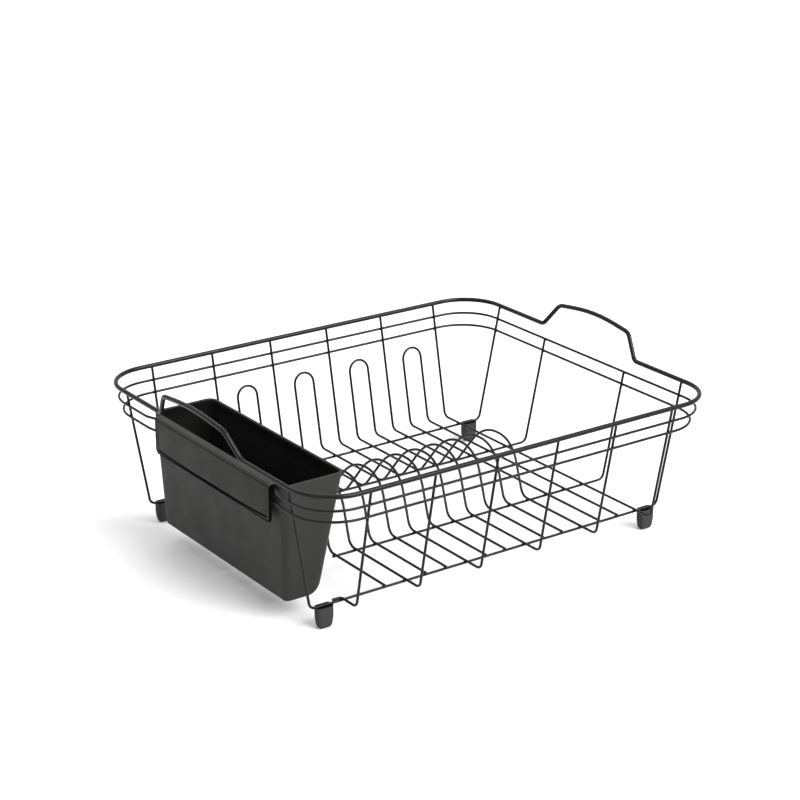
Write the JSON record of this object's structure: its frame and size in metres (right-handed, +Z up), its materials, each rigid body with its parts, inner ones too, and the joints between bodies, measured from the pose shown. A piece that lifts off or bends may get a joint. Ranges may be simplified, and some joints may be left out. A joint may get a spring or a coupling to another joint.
{
  "type": "dish drying rack",
  "caption": "Wire dish drying rack with a thick rim, plate hoops, raised end grips, push-on feet and a lift-off cutlery caddy hooked inside one end.",
  "frame": {"origin": "on the floor under the middle of the rack", "axes": "+Z up, X along the rack with the caddy at -X, -Y towards the front"},
  "size_m": [0.4712, 0.3866, 0.173],
  "materials": {
    "rim_coating": "satin black coating",
    "wire_coating": "satin black coating",
    "foot_plastic": "matte moulded",
    "caddy_plastic": "fine matte texture"
  },
  "bodies": {
    "basket": {"rim": "rim_coating", "ring_upper": "wire_coating", "ring_lower": "wire_coating", "long_wire_front": "wire_coating", "long_wire_back": "wire_coating", "inner_wire_front": "wire_coating", "inner_wire_back": "wire_coating", "cross_wire_01": "wire_coating", "wall_wire_02": "wire_coating", "wall_wire_05": "wire_coating", "wall_wire_08": "wire_coating", "wall_wire_11": "wire_coating", "wall_wire_14": "wire_coating", "loop_wire_03_04": "wire_coating", "loop_wire_06_07": "wire_coating", "loop_wire_09_10": "wire_coating", "loop_wire_12_13": "wire_coating", "wall_stub_front": "wire_coating", "wall_stub_back": "wire_coating", "foot_front_left": "foot_plastic", "foot_back_left": "foot_plastic", "foot_front_right": "foot_plastic", "foot_back_right": "foot_plastic"},
    "caddy": {"caddy": "caddy_plastic"}
  },
  "joints": [
    {"name": "caddy_lift", "type": "slide", "parent": "basket", "child": "caddy", "axis": [0, 0, 1], "range_m": [0, 0.16]}
  ]
}
